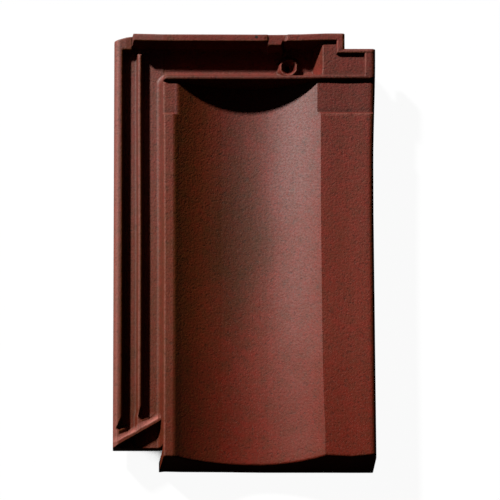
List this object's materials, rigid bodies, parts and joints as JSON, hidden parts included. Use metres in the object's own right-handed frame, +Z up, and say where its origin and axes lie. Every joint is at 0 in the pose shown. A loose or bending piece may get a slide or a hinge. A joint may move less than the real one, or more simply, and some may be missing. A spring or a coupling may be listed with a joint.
{
  "type": "clay roof tile",
  "caption": "Interlocking fired-clay roof tile with one wide pan, a ribbed side lock, a channelled head lock, a covering edge, a straight front apron and hanging nibs.",
  "frame": {"origin": "under the middle of the tile, on the surface that it lies on", "axes": "+X across the slope towards the covering edge, +Y up the slope towards the head, +Z up out of the pan"},
  "size_m": [0.2651, 0.448, 0.0445],
  "materials": {
    "fired_clay": "satin slip over fired clay"
  },
  "bodies": {
    "root": {"roof_tile": "fired_clay"}
  },
  "joints": []
}
